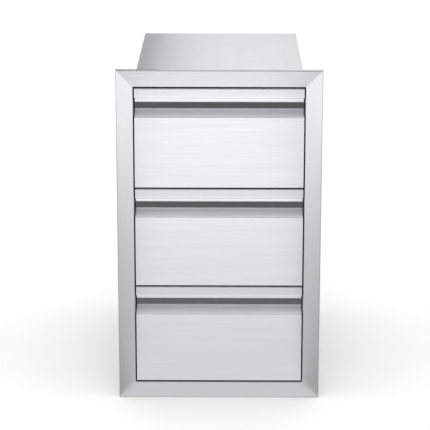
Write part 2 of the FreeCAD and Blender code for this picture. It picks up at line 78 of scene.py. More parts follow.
print("mid grey in linear light: %.3f" % linear("808080")[0])

# %% [markdown]
# Nodes
#
# A material here is a small tree of nodes. One helper adds a node, sets what is named and joins what is
# linked, so that each material below reads as a list of its own settings. A socket goes by its name, or by
# its number where a node has several of one name, as a Math node has.

# %% A helper that adds one node
def add_node(tree, kind, settings=None, links=None):
    """Add a node. A setting is a property of the node or else the value of one of its sockets."""
    node = tree.nodes.new(kind)
    for name, value in (settings or {}).items():
        if isinstance(name, str) and hasattr(node, name):
            setattr(node, name, value)
        else:
            node.inputs[name].default_value = value
    for name, source in (links or {}).items():
        tree.links.new(source, node.inputs[name])
    return node


def new_material(name):
    """A material and its tree, which has no nodes yet."""
    material = bpy.data.materials.new(name)
    material.use_nodes = True
    material.node_tree.nodes.clear()
    return material, material.node_tree


# %% [markdown]
# Patterns
#
# Three helpers carry every finish below. The first makes noise that can be drawn out along one axis, with
# its width and length given as real sizes. The second brings that noise, which stays around a half, to
# the range that a colour or a roughness needs. The third lets a colour drift with it.

# %% Noise with a real size
AXES = {"X": 0, "Y": 1, "Z": 2}
NOISE_ROUGHNESS = 0.6        # how strong each finer layer of the noise is beside the one before
NOISE_LOW = 0.3              # nearly all of the noise lies between these two
NOISE_HIGH = 0.7


def sized_noise(tree, where, width, detail, grain=None, length=None):
    """Noise with spots of a real width, drawn out to a length along the grain if there is one."""
    scale = [1 / width] * 3
    if grain:
        scale[AXES[grain]] = 1 / length
    stretch = add_node(tree, "ShaderNodeMapping", {"Scale": scale}, {"Vector": where})
    return add_node(
        tree, "ShaderNodeTexNoise",
        {"Scale": 1.0, "Detail": detail, "Roughness": NOISE_ROUGHNESS},
        {"Vector": stretch.outputs["Vector"]},
    ).outputs["Fac"]


def spread(tree, value, low, high):
    """Carry a noise to a range of its own."""
    return add_node(
        tree, "ShaderNodeMapRange",
        {"From Min": NOISE_LOW, "From Max": NOISE_HIGH, "To Min": low, "To Max": high},
        {"Value": value},
    ).outputs["Result"]


def two_tones(tree, code, dulled, value):
    """A colour that drifts between its hex code and a slightly duller tone."""
    dull = tuple(dulled * c for c in linear(code)[:3]) + (1.0,)
    return add_node(
        tree, "ShaderNodeMix",
        {"data_type": "RGBA", "A": dull, "B": linear(code)},
        {"Factor": spread(tree, value, 0.0, 1.0)},
    ).outputs["Result"]


# %% [markdown]
# Brushed stainless steel
#
# The trim and the drawer fronts look like stainless steel sheet with a number 4 finish: it is run under
# an abrasive belt, which leaves short straight scratches that all lie one way. Across the scratches a
# reflection is smeared out, and along them it stays fairly sharp. That is what tells the eye that the
# sheet is brushed. It could be drawn with a bump of real scratches, but they are about a tenth of a
# millimetre wide, far finer than a pixel here, so the shader's anisotropy does the smearing. A stretched
# noise adds the few streaks that are broad enough to see, and a second, wider one the change of tone from
# one pass of the belt to the next.
#
# The scratches run along the length of the sheet that each piece was cut from: along each trim member, so
# that the grain turns at the mitres, and across the width of each drawer front.

# %% Sizes of the brushed finish
STREAK_WIDTH = 1.1 * MM      # drawn ten times as coarse as the real scratches, which a pixel can't show
STREAK_LENGTH = 60 * MM
CLOUD_WIDTH = 9 * MM
CLOUD_LENGTH = 220 * MM
SCRATCH_DEPTH = 0.02 * MM
SCRATCH_STRENGTH = 0.03
ACROSS_THE_GRAIN = 0.25      # of a turn, from the tangent that lies along the grain
SMEAR = 0.8                  # 0 smears a reflection alike all round, 1 almost only across the grain
BRUSHED_ROUGHNESS = 0.2
BRUSHED_DRIFT = 0.012        # of the roughness, either way, from streak to streak
BRUSHED_DULLEST = 0.965      # of the colour, between two passes of the belt
print("streaks of %.1f by %.0f mm" % (STREAK_WIDTH / MM, STREAK_LENGTH / MM))

# %% [markdown]
# Folds, lips and finger channels
#
# Such sheet comes brushed from the mill and is folded afterwards, so the grain goes on round the folds.
# Still, in the photograph the folds and channels don't look like the flat faces. The returns beside the
# gaps look dark, the lips are a little darker than the panels, the hem under each lip is the brightest
# line of all, and the lower flank of each channel is an even grey. The tones below are painted shade on
# the returns and the lips and a painted highlight on the hem. They and the roughness are matched to that,
# not taken from a sample.
#
# Much of it is reflection. The hem mirrors the channel's back wall, which in turn mirrors the floor, so a
# smoother channel makes the hem bright, and a painted highlight makes it brighter still. The flank
# mirrors the hem and the ceiling, and a rougher flank mixes the two into an even grey.
#
# Each of these places is found by how deep it lies behind the face, how high it is on its drawer front
# and which way it looks. So no seam has to be drawn, and the three fronts share one material. Each test is
# a Map Range node that gives 0 on one side of a place and 1 on the other, and a place that has to pass two
# tests is their product.

# %% Places on a folded front
FRONT_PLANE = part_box("trim_bottom")[0].y
FACE_ENDS = 0.15 * MM        # how far behind the face a fold begins
RETURN_STARTS = 0.7 * MM
BLEND = 1 * MM
LIP_HEIGHT = 17 * MM
LIP_BEND = 3 * MM            # the lip's tone ends this far above its foot
PANEL_BEND = 5 * MM          # the fold at the foot of a panel ends below this height
FRONT_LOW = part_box("drawer_3_front")[0].z
LIP_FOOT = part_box("drawer_3_front")[1].z - LIP_HEIGHT
FRONT_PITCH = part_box("drawer_2_front")[0].z - FRONT_LOW


def behind_the_face(tree, place):
    """0 on a face and 1 on what is folded back from it."""
    return add_node(
        tree, "ShaderNodeMapRange",
        {"From Min": FRONT_PLANE + FACE_ENDS, "From Max": FRONT_PLANE + RETURN_STARTS},
        {"Value": place.outputs["Y"]},
    ).outputs["Result"]


def height_on_a_front(tree, place):
    """The height of a place on any front, brought down to the same place on the lowest one."""
    return add_node(
        tree, "ShaderNodeMath",
        {"operation": "WRAP", 1: FRONT_LOW + FRONT_PITCH, 2: FRONT_LOW},
        {0: place.outputs["Z"]},
    ).outputs["Value"]


print("the fronts are %.1f mm apart and their lips %.0f mm high" % (FRONT_PITCH / MM, LIP_HEIGHT / MM))

# %% Tests for the places on a folded front
LOOKS_UP = (0.4, 0.8)        # the upward part of the normal at which the test fails and passes
LOOKS_DOWN = (-0.03, -0.3)
LOOKS_SIDEWAYS = (0.6, 0.9)  # its sideways part, to either side


def product(tree, *factors):
    """Several values multiplied together."""
    result = factors[0]
    for factor in factors[1:]:
        result = add_node(
            tree, "ShaderNodeMath",
            {"operation": "MULTIPLY"},
            {0: result, 1: factor},
        ).outputs["Value"]
    return result


def places_on_a_front(tree, place, facing, folded):
    """The lip, the flank, the hem and the returns of a front: 1 there and 0 elsewhere."""
    height = height_on_a_front(tree, place)
    sideways = add_node(tree, "ShaderNodeMath", {"operation": "ABSOLUTE"}, {0: facing.outputs["X"]})
    passed = {}
    for test, value, (fails, passes) in (
        ("is on the lip", height, (LIP_FOOT + LIP_BEND - BLEND, LIP_FOOT + LIP_BEND)),
        ("is above the panel's bend", height, (FRONT_LOW + PANEL_BEND - BLEND, FRONT_LOW + PANEL_BEND)),
        ("looks up", facing.outputs["Z"], LOOKS_UP),
        ("looks down", facing.outputs["Z"], LOOKS_DOWN),
        ("looks sideways", sideways.outputs["Value"], LOOKS_SIDEWAYS),
    ):
        passed[test] = add_node(
            tree, "ShaderNodeMapRange",
            {"From Min": fails, "From Max": passes},
            {"Value": value},
        ).outputs["Result"]
    lip = passed["is on the lip"]
    flank = product(tree, folded, passed["looks up"])
    hem = product(tree, passed["is above the panel's bend"], passed["looks down"])
    returned = add_node(
        tree, "ShaderNodeMath",
        {"operation": "MAXIMUM"},
        {0: product(tree, folded, passed["looks sideways"]), 1: product(tree, flank, lip)},
    ).outputs["Value"]
    return lip, flank, hem, returned


# %% Painted shade, painted highlight and roughness of a folded front
# The returns beside the gaps and the lip's top in the gap above it get painted shade.
RETURN_TONE = 0.5            # of the brushed face's colour
# The lips get painted shade, a little darker than the panels.
LIP_TONE = 0.9
# The hem under each lip gets a painted highlight.
HEM_TONE = 1.13
FLANK_ROUGHNESS = 0.35
CHANNEL_SMOOTHING = 0.6      # of the brushed face's roughness


def folded_front(tree, place, facing, folded, rough):
    """The painted shade and highlight and the roughness of a front, from the places on it."""
    lip, flank, hem, returned = places_on_a_front(tree, place, facing, folded)
    change = {}
    for name, somewhere, there in (
        ("return", returned, RETURN_TONE),
        ("lip", lip, LIP_TONE),
        ("hem", hem, HEM_TONE),
        ("channel", folded, CHANNEL_SMOOTHING),
    ):
        change[name] = add_node(
            tree, "ShaderNodeMapRange",
            {"To Min": 1.0, "To Max": there},
            {"Value": somewhere},
        ).outputs["Result"]
    tone = product(tree, change["return"], change["lip"], change["hem"])
    smooth = product(tree, rough, change["channel"])
    rough = add_node(
        tree, "ShaderNodeMapRange",
        {"To Max": FLANK_ROUGHNESS},
        {"Value": flank, "To Min": smooth},
    ).outputs["Result"]
    return tone, rough


# %% Painted shade on the returns of a trim member
# The trim's returns get painted shade, darkest round the opening beside the gaps.
OUTER_RETURN_TONE = 0.65
INNER_RETURN_TONE = 0.3
INNER_BAND = 3 * MM          # how far round the opening its dark return reaches
OPENING_HALF_WIDTH = -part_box("trim_left")[1].x
OPENING_HALF_HEIGHT = (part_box("trim_top")[0].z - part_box("trim_bottom")[1].z) / 2
OPENING_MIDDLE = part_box("trim_bottom")[1].z + OPENING_HALF_HEIGHT


def trim_member(tree, place, folded, grain):
    """The painted shade of a trim member: its return beside the gap is painted darker than the one
    outside.
    """
    across, middle, half = {
        "Z": ("X", 0.0, OPENING_HALF_WIDTH),
        "X": ("Z", OPENING_MIDDLE, OPENING_HALF_HEIGHT),
    }[grain]
    offset = add_node(
        tree, "ShaderNodeMath",
        {"operation": "SUBTRACT", 1: middle},
        {0: place.outputs[across]},
    )
    distance = add_node(tree, "ShaderNodeMath", {"operation": "ABSOLUTE"}, {0: offset.outputs["Value"]})
    edge = half + INNER_BAND
    # Painted shade: darkest on the return beside the gap, lighter on the one outside.
    returned = add_node(
        tree, "ShaderNodeMapRange",
        {
            "From Min": edge,
            "From Max": edge + BLEND,
            "To Min": INNER_RETURN_TONE,
            "To Max": OUTER_RETURN_TONE,
        },
        {"Value": distance.outputs["Value"]},
    )
    return add_node(
        tree, "ShaderNodeMapRange",
        {"To Min": 1.0},
        {"Value": folded, "To Max": returned.outputs["Result"]},
    ).outputs["Result"]


print("opening of %.0f by %.0f mm" % (2 * OPENING_HALF_WIDTH / MM, 2 * OPENING_HALF_HEIGHT / MM))

# %% Brushed stainless steel with its grain along one axis
def brushed_stainless(name, grain, tone, is_front=False):
    """Number 4 stainless sheet: metal with reflections smeared across the grain."""
    material, tree = new_material(name)
    coordinates = add_node(tree, "ShaderNodeTexCoord")
    where = coordinates.outputs["Object"]
    place = add_node(tree, "ShaderNodeSeparateXYZ", {}, {"Vector": where})
    streaks = sized_noise(tree, where, STREAK_WIDTH, detail=4.0, grain=grain, length=STREAK_LENGTH)
    clouds = sized_noise(tree, where, CLOUD_WIDTH, detail=2.0, grain=grain, length=CLOUD_LENGTH)
    scratches = add_node(
        tree, "ShaderNodeBump",
        {"Strength": SCRATCH_STRENGTH, "Distance": SCRATCH_DEPTH},
        {"Height": streaks},
    )
    rough = spread(tree, streaks, BRUSHED_ROUGHNESS - BRUSHED_DRIFT, BRUSHED_ROUGHNESS + BRUSHED_DRIFT)
    folded = behind_the_face(tree, place)
    if is_front:
        facing = add_node(tree, "ShaderNodeSeparateXYZ", {}, {"Vector": coordinates.outputs["Normal"]})
        dulled, rough = folded_front(tree, place, facing, folded, rough)
    else:
        dulled = trim_member(tree, place, folded, grain)
    direction = add_node(tree, "ShaderNodeCombineXYZ", {grain: 1.0})
    # The colour is multiplied by the painted shade and highlight of the folds and returns.
    colour = add_node(
        tree, "ShaderNodeVectorMath",
        {"operation": "SCALE"},
        {"Vector": two_tones(tree, tone, BRUSHED_DULLEST, clouds), "Scale": dulled},
    )
    shader = add_node(
        tree, "ShaderNodeBsdfPrincipled",
        {"Metallic": 1.0, "Anisotropic": SMEAR, "Anisotropic Rotation": ACROSS_THE_GRAIN},
        {
            "Base Color": colour.outputs["Vector"],
            "Roughness": rough,
            "Normal": scratches.outputs["Normal"],
            "Tangent": direction.outputs["Vector"],
        },
    )
    add_node(tree, "ShaderNodeOutputMaterial", {}, {"Surface": shader.outputs["BSDF"]})
    return material


FRONT_STEEL = brushed_stainless("brushed_stainless_front", "X", "EAEBEC", is_front=True)
# The trim is the same steel as the fronts; its darker tone is painted shade.
RAIL_STEEL = brushed_stainless("brushed_stainless_rail", "X", "DDDEDF")
POST_STEEL = brushed_stainless("brushed_stainless_post", "Z", "DDDEDF")
print("brushed finishes:", FRONT_STEEL.name, RAIL_STEEL.name, POST_STEEL.name)

# %% [markdown]
# Mill finish stainless steel
#
# The carcass and the tubs are taken to be the same steel as it leaves the rolling mill, with a 2B finish:
# cold rolled, pickled and given a light skin pass on polished rolls. It is smooth, a little milky, and
# its only grain is a faint trace of the rolls. An even, rougher metal with slow clouds and very long
# faint lines is enough.
#
# Three tones of it are used. The carcass sides are the darkest: their tone is painted shade, for the dark
# gaps that the photograph shows between them and the fronts. The tubs are the lightest and roughest: their
# lighter tone is painted light, so that an open drawer, which the photograph doesn't show, looks like
# steel inside and doesn't only mirror its own dark corners.

# %% Mill finish stainless steel
ROLL_LINE_WIDTH = 3 * MM
ROLL_LINE_LENGTH = 400 * MM
ROLLED_ALONG = "Y"
ROLL_LINE_STRENGTH = 0.05
MILK_CLOUD = 45 * MM
MILK_DULLEST = 0.95          # of the colour
MILL_DRIFT = 0.03            # of the roughness, either way


def mill_stainless(name, tone, roughness):
    """2B stainless sheet: a soft, milky metal with faint clouds and roll lines."""
    material, tree = new_material(name)
    where = add_node(tree, "ShaderNodeTexCoord").outputs["Object"]
    clouds = sized_noise(tree, where, MILK_CLOUD, detail=3.0)
    lines = sized_noise(
        tree, where, ROLL_LINE_WIDTH,
        detail=2.0, grain=ROLLED_ALONG, length=ROLL_LINE_LENGTH,
    )
    roll_marks = add_node(
        tree, "ShaderNodeBump",
        {"Strength": ROLL_LINE_STRENGTH, "Distance": SCRATCH_DEPTH},
        {"Height": lines},
    )
    shader = add_node(
        tree, "ShaderNodeBsdfPrincipled",
        {"Metallic": 1.0},
        {
            "Base Color": two_tones(tree, tone, MILK_DULLEST, clouds),
            "Roughness": spread(tree, lines, roughness - MILL_DRIFT, roughness + MILL_DRIFT),
            "Normal": roll_marks.outputs["Normal"],
        },
    )
    add_node(tree, "ShaderNodeOutputMaterial", {}, {"Surface": shader.outputs["BSDF"]})
    return material


CARCASS_STEEL = mill_stainless("mill_stainless_carcass", "D9DADB", roughness=0.34)
# The carcass sides' dark tone is painted shade for the gaps beside the fronts.
SIDE_STEEL = mill_stainless("mill_stainless_carcass_side_painted_shade", "A9AAAB", roughness=0.4)
# The tubs' lighter tone is painted light for their dim inside.
TUB_STEEL = mill_stainless("mill_stainless_tub_painted_light", "E2E3E4", roughness=0.5)
print("mill finishes:", CARCASS_STEEL.name, SIDE_STEEL.name, TUB_STEEL.name)

# %% [markdown]
# Zinc-plated steel
#
# The slides and the screws are mild steel with a thin coat of electroplated zinc, sealed in a clear
# passivate. It is greyer than stainless steel, with a cold blue cast that drifts here and there to straw,
# and slightly mottled where the bath left the crystals coarser. Two noises do that: one moves the cast,
# the other the gloss.

# %% Zinc-plated steel
CAST_SIZE = 22 * MM
COLD = "AEB4BC"
STRAW = "BDB9AC"
MOST_STRAW = 0.6             # how far the cast ever goes from the one to the other
CRYSTAL_SIZE = 1.6 * MM      # drawn a few times as coarse as real zinc crystals
CRYSTAL_DRIFT = 0.06         # of the roughness, either way


def zinc_plate(name, roughness):
    """Clear-passivated zinc plate: cold grey with a drift to straw, mottled in its gloss."""
    material, tree = new_material(name)
    where = add_node(tree, "ShaderNodeTexCoord").outputs["Object"]
    drift = sized_noise(tree, where, CAST_SIZE, detail=2.0)
    crystals = sized_noise(tree, where, CRYSTAL_SIZE, detail=4.0)
    cast = add_node(
        tree, "ShaderNodeMix",
        {"data_type": "RGBA", "A": linear(COLD), "B": linear(STRAW)},
        {"Factor": spread(tree, drift, 0.0, MOST_STRAW)},
    )
    shader = add_node(
        tree, "ShaderNodeBsdfPrincipled",
        {"Metallic": 1.0},
        {
            "Base Color": cast.outputs["Result"],
            "Roughness": spread(tree, crystals, roughness - CRYSTAL_DRIFT, roughness + CRYSTAL_DRIFT),
        },
    )
    add_node(tree, "ShaderNodeOutputMaterial", {}, {"Surface": shader.outputs["BSDF"]})
    return material


SLIDE_STEEL = zinc_plate("zinc_plated_slide", roughness=0.3)
SCREW_STEEL = zinc_plate("zinc_plated_screw", roughness=0.24)
print("plated finishes:", SLIDE_STEEL.name, SCREW_STEEL.name)

# %% [markdown]
# Moulded rubber
#
# The stops at the back of the slides are small blocks of black rubber, moulded in a tool with a
# sandblasted face. Rubber is not metal: it keeps a weak, wide highlight, and fine pits from the tool
# break that up.

# %% Moulded black rubber
PIT_SIZE = 0.8 * MM
PIT_DEPTH = 0.05 * MM
PIT_STRENGTH = 0.6
PIT_DULLEST = 0.8            # of the colour
RUBBER_IOR = 1.52
RUBBER_ROUGHNESS = (0.55, 0.7)


def moulded_rubber(name, tone):
    """Black moulded rubber with a fine matt texture."""
    material, tree = new_material(name)
    where = add_node(tree, "ShaderNodeTexCoord").outputs["Object"]
    pits = sized_noise(tree, where, PIT_SIZE, detail=3.0)
    matt = add_node(
        tree, "ShaderNodeBump",
        {"Strength": PIT_STRENGTH, "Distance": PIT_DEPTH},
        {"Height": pits},
    )
    shader = add_node(
        tree, "ShaderNodeBsdfPrincipled",
        {"IOR": RUBBER_IOR},
        {
            "Base Color": two_tones(tree, tone, PIT_DULLEST, pits),
            "Roughness": spread(tree, pits, *RUBBER_ROUGHNESS),
            "Normal": matt.outputs["Normal"],
        },
    )
    add_node(tree, "ShaderNodeOutputMaterial", {}, {"Surface": shader.outputs["BSDF"]})
    return material


RUBBER = moulded_rubber("moulded_rubber_stop", "1D1D1E")
print("rubber:", RUBBER.name)

# %% [markdown]
# Which finish goes where
#
# Pieces cut from the same kind of sheet share one finish, apart from the tones of painted shade and light
# set above, so the name of a piece is enough to choose it.

# %% Put each finish on its pieces
def finish_of(name):
    """The finish that a piece of the construction has."""
    if name in ("trim_left", "trim_right"):
        return POST_STEEL
    if name in ("trim_top", "trim_bottom"):
        return RAIL_STEEL
    if name in ("carcass_left", "carcass_right"):
        return SIDE_STEEL
    if name.startswith("carcass"):
        return CARCASS_STEEL
    if name == "slide_stops":
        return RUBBER
    if name.endswith("screws"):
        return SCREW_STEEL
    if name.startswith("slide"):
        return SLIDE_STEEL
    if name.endswith("_front"):
        return FRONT_STEEL
    return TUB_STEEL


for name, piece in nodes.items():
    piece.data.materials.clear()
    piece.data.materials.append(finish_of(name))
print("%d pieces have their finish" % len(nodes))

# %% [markdown]
# Screws
#
# The construction has each screw as a plain headed pin, which is enough to hold and to weigh. A real one
# is a pan head screw: a low domed head with a cross recess that a driver drops into, and a rolled thread.
# A boolean could cut the recess, but the form is simple enough to build face by face, which keeps it
# light: there are three dozen screws. The thread is a tube whose radius rises and falls along a spiral, so
# a formula gives it.

# %% The thread of a screw
THREAD_SIDES = 16
THREAD_PITCH = 0.8 * MM
THREAD_DEPTH = 0.4 * MM
ROWS_IN_PITCH = 4


def ring(mesh, radius, height, sides):
    """A ring of points round the Z axis."""
    points = []
    for side in range(sides):
        angle = 2 * math.pi * side / sides
        points.append(mesh.verts.new((radius * math.cos(angle), radius * math.sin(angle), height)))
    return points


def skin(mesh, lower, upper):
    """Faces between two rings that have as many points."""
    count = len(lower)
    for side in range(count):
        after = (side + 1) % count
        mesh.faces.new((lower[side], lower[after], upper[after], upper[side]))


def add_thread(mesh, radius, length):
    """A threaded shank from the seat of the head down to the tip."""
    rows = math.ceil(ROWS_IN_PITCH * length / THREAD_PITCH)
    above = None
    for row in range(rows + 1):
        depth = length * row / rows
        points = ring(mesh, radius, -depth, THREAD_SIDES)
        for side, point in enumerate(points):
            turn = (depth / THREAD_PITCH + side / THREAD_SIDES) % 1
            groove = THREAD_DEPTH * (1 - abs(2 * turn - 1))
            point.co.xy *= 1 - groove / radius
        if above:
            skin(mesh, points, above)
        above = points
    mesh.faces.new(reversed(above))


# %% [markdown]
# The head is a stack of rings that close in to a dome. Its top is a flat face with a hole in the shape of
# the cross, and the cross goes down as a tapered pit, just as the punch leaves it.

# %% The head of a screw
HEAD_SIDES = 24
HEAD_DOME = ((1.0, 0.42), (0.94, 0.7), (0.8, 0.9), (0.62, 1.0))    # radius and height, of the head's own
ARM_WIDTH = 0.13             # of the head's radius, from the middle to the side of an arm
ARM_LENGTH = 0.52            # of the head's radius
PIT_TAPER = 0.55             # size of the pit's floor, of its mouth's
PIT_OF_HEAD = 0.75           # depth of the pit, of the head's height


def add_head(mesh, radius, height):
    """A domed head on the Z axis with its seat at zero and a cross recess in its top."""
    seat = ring(mesh, radius, 0.0, HEAD_SIDES)
    mesh.faces.new(reversed(seat))
    below = seat
    for wide, high in HEAD_DOME:
        above = ring(mesh, wide * radius, high * height, HEAD_SIDES)
        skin(mesh, below, above)
        below = above
    arm, side = ARM_LENGTH * radius, ARM_WIDTH * radius
    quarter = ((arm, -side), (arm, side), (side, side))
    mouth = []
    floor = []
    for turn in range(4):
        rotation = Matrix.Rotation(turn * math.pi / 2, 2)
        for corner in quarter:
            flat = rotation @ Vector(corner)
            mouth.append(mesh.verts.new((flat.x, flat.y, height)))
            deep = PIT_TAPER * flat
            floor.append(mesh.verts.new((deep.x, deep.y, height * (1 - PIT_OF_HEAD))))
    skin(mesh, mouth, floor)
    mesh.faces.new(floor)
    rim = [mesh.edges.get((mouth[k], mouth[(k + 1) % len(mouth)])) for k in range(len(mouth))]
    brow = [mesh.edges.get((below[k], below[(k + 1) % HEAD_SIDES])) for k in range(HEAD_SIDES)]
    bmesh.ops.triangle_fill(mesh, edges=rim + brow, use_beauty=True)


# %% [markdown]
# Where each screw sits is read from the pins of the construction. Each pin is one loose part of its
# node's mesh. Its head is as wide one way as the other, so the odd size out is along the screw, and the
# head is at the end where the part is widest.

# %% Find the screws
WELD = 0.001 * MM


def loose_parts(mesh_data):
    """The points of each loose part of a mesh."""
    mesh = bmesh.new()
    mesh.from_mesh(mesh_data)
    bmesh.ops.remove_doubles(mesh, verts=mesh.verts, dist=WELD)
    parts = []
    seen = set()
    for start in mesh.verts:
        if start in seen:
            continue
        seen.add(start)
        part = []
        waiting = [start]
        while waiting:
            point = waiting.pop()
            part.append(point.co.copy())
            others = [edge.other_vert(point) for edge in point.link_edges]
            fresh = [other for other in others if other not in seen]
            seen.update(fresh)
            waiting.extend(fresh)
        parts.append(part)
    mesh.free()
    return parts


def read_screw(points):
    """A screw's place, direction, head and shank: where its head seats, and all its sizes."""
    low = Vector([min(point[axis] for point in points) for axis in range(3)])
    high = Vector([max(point[axis] for point in points) for axis in range(3)])
    size = high - low
    middle = (low + high) / 2
    pairs = [(abs(size[(axis + 1) % 3] - size[(axis + 2) % 3]), axis) for axis in range(3)]
    axis = min(pairs)[1]

    def reach(point):
        across = point - middle
        across[axis] = 0.0
        return across.length

    levels = sorted({round(point[axis] / WELD) for point in points})
    widths = []
    for end in (low[axis], high[axis]):
        widths.append(max(reach(point) for point in points if abs(point[axis] - end) < WELD))
    head_is_low = widths[0] > widths[1]
    seat_level = (levels[1] if head_is_low else levels[-2]) * WELD
    head_end, tip = (low[axis], high[axis]) if head_is_low else (high[axis], low[axis])
    place = middle.copy()
    place[axis] = seat_level
    outward = Vector((0.0, 0.0, 0.0))
    outward[axis] = math.copysign(1.0, head_end - tip)
    return {
        "place": place,
        "outward": outward,
        "head_radius": max(widths),
        "head_height": abs(head_end - seat_level),
        "shank_radius": min(widths),
        "shank_length": abs(tip - seat_level),
    }


# %% Make the screws of one node
SHARP_ANGLE = math.radians(38)    # a fold at least this steep stays crisp: seat, recess and thread crests
RECESS_TURN = 1.3                 # radians from one screw to the next, as no fitter lines them up


def dress_screws(name):
    """One mesh with all the screws of a node, in place of the plain pins."""
    mesh = bmesh.new()
    screws = [read_screw(points) for points in loose_parts(nodes[name].data)]
    for number, screw in enumerate(screws):
        one = bmesh.new()
        add_head(one, screw["head_radius"], screw["head_height"])
        add_thread(one, screw["shank_radius"], screw["shank_length"])
        turn = Matrix.Rotation(number * RECESS_TURN, 4, "Z")
        aim = screw["outward"].to_track_quat("Z", "Y").to_matrix().to_4x4()
        bmesh.ops.transform(one, matrix=Matrix.Translation(screw["place"]) @ aim @ turn, verts=one.verts)
        data = bpy.data.meshes.new("one_screw")
        one.to_mesh(data)
        one.free()
        mesh.from_mesh(data)
        bpy.data.meshes.remove(data)
    bmesh.ops.recalc_face_normals(mesh, faces=mesh.faces)
    for face in mesh.faces:
        face.smooth = True
    for edge in mesh.edges:
        edge.smooth = edge.calc_face_angle(0.0) < SHARP_ANGLE
    data = bpy.data.meshes.new(name + "_dressed")
    mesh.to_mesh(data)
    mesh.free()
    data.materials.append(SCREW_STEEL)
    piece = bpy.data.objects.new(name + "_dressed", data)
    bpy.context.scene.collection.objects.link(piece)
    body = [body for body, names in frame["record"]["behaviour"]["bodies"].items() if name in names][0]
    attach(piece, body)
    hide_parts(name)
    return len(screws)


screw_count = sum(dress_screws(name) for name in list(nodes) if name.endswith("screws"))
print("%d screws" % screw_count)

# %% [markdown]
# The studio
#
# Brushed steel has hardly a colour of its own: it shows the studio. From the camera the fronts mirror the
# floor before them, the folds and the finger channels mirror what is above and in front, and the top
# panel mirrors what is behind. So the studio is built for what each of them sees, as a photographer of
# metal does it, with a few cards and one long lamp overhead.

# %% Flat pieces for the studio
FLOOR_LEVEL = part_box("trim_bottom")[0].z


def flat_piece(name, corners):
    """A staged mesh of one face with the corners given."""
    mesh = bpy.data.meshes.new(name)
    mesh.from_pydata(corners, [], [tuple(range(len(corners)))])
    piece = bpy.data.objects.new(name, mesh)
    bpy.context.scene.collection.objects.link(piece)
    return piece


def level(low, high, height):
    """The corners of a level rectangle between two points of X and Y."""
    flat = ((low[0], low[1]), (high[0], low[1]), (high[0], high[1]), (low[0], high[1]))
    return [(x, y, height) for x, y in flat]


def upright(left, right, depth, bottom, top):
    """The corners of an upright rectangle that faces the unit."""
    return [(left, depth, bottom), (right, depth, bottom), (right, depth, top), (left, depth, top)]


# %% Which rays see a surface as it looks
def seen_directly(tree):
    """1 for rays from the camera and for those that metal or glass mirrors, and 0 for scattered light."""
    rays = add_node(tree, "ShaderNodeLightPath")
    seen = rays.outputs["Is Camera Ray"]
    for kind in ("Is Glossy Ray", "Is Transmission Ray"):
        seen = add_node(
            tree, "ShaderNodeMath",
            {"operation": "MAXIMUM"},
            {0: seen, 1: rays.outputs[kind]},
        ).outputs["Value"]
    return seen


# %% [markdown]
# Floor and surroundings
#
# The unit stands on a plain pale floor with white all round. Light that the floor scatters comes from its
# own pale grey. What the camera and the metal see of it is a shade lighter, so that it reads as white and
# still keeps the soft shadow of the unit. The world does the same: it lights the scene at a plain level
# and looks white.

# %% Floor
FLOOR_HALF = 10.0
FLOOR_COLOUR = linear("F2F2F2")
FLOOR_SEEN = 1.06            # its tone for the camera and the metal, as linear light

floor = flat_piece("floor", level((-FLOOR_HALF, -FLOOR_HALF), (FLOOR_HALF, FLOOR_HALF), FLOOR_LEVEL))
material, tree = new_material("pale_floor")
whitened = add_node(
    tree, "ShaderNodeMix",
    {"data_type": "RGBA", "A": FLOOR_COLOUR, "B": (FLOOR_SEEN, FLOOR_SEEN, FLOOR_SEEN, 1.0)},
    {"Factor": seen_directly(tree)},
)
shader = add_node(tree, "ShaderNodeBsdfDiffuse", {}, {"Color": whitened.outputs["Result"]})
add_node(tree, "ShaderNodeOutputMaterial", {}, {"Surface": shader.outputs["BSDF"]})
floor.data.materials.append(material)
print("floor at %.1f mm" % (FLOOR_LEVEL / MM))

# %% World
WORLD_LIGHT = 0.95
world = bpy.data.worlds.new("studio")
bpy.context.scene.world = world
world.use_nodes = True
world.node_tree.nodes.clear()
tree = world.node_tree
dim = add_node(tree, "ShaderNodeBackground", {"Color": linear("FFFFFF"), "Strength": WORLD_LIGHT})
white = add_node(tree, "ShaderNodeBackground", {"Color": linear("FFFFFF"), "Strength": 1.0})
mixed = add_node(
    tree, "ShaderNodeMixShader", {},
    {0: seen_directly(tree), 1: dim.outputs["Background"], 2: white.outputs["Background"]},
)
add_node(tree, "ShaderNodeOutputWorld", {}, {"Surface": mixed.outputs["Shader"]})
print("world light %.2f" % WORLD_LIGHT)

# %% [markdown]
# Cards for the metal
#
# A card here is a flat piece that only the metal mirrors: the camera doesn't see it, and it neither
# lights nor shades anything else. Its light can change smoothly along Y, so that a card on the floor
# carries painted light and shade.
#
# - A dark wall in front, with a dark ceiling that leads up to it, makes the back walls of the finger
#   channels dark, and the folds beside the gaps.
# - A pale ceiling above the unit lights the lower flanks of the channels.
# - A tapered strip on the floor gives the fronts and the rails their slow change from grey at the bottom
#   to near white at the top. Its light is painted: dim near the unit, where the unit shades the floor,
#   and bright further off. It is only just as wide as the fronts mirror it, so that their ends turn a
#   little darker.
# - The strip's end before the bottom rail is as wide as the rail and narrows like the mirror image of its
#   mitres, so that the rail is bright up to its mitres and the posts beside it are not.
# - Grey paper on both sides of the strip, dimmer than the strip and likewise painted dim near the unit,
#   makes the posts darker than the fronts.
# - Behind, a bright panel with dark beside it gives the top panel its change from left to right.

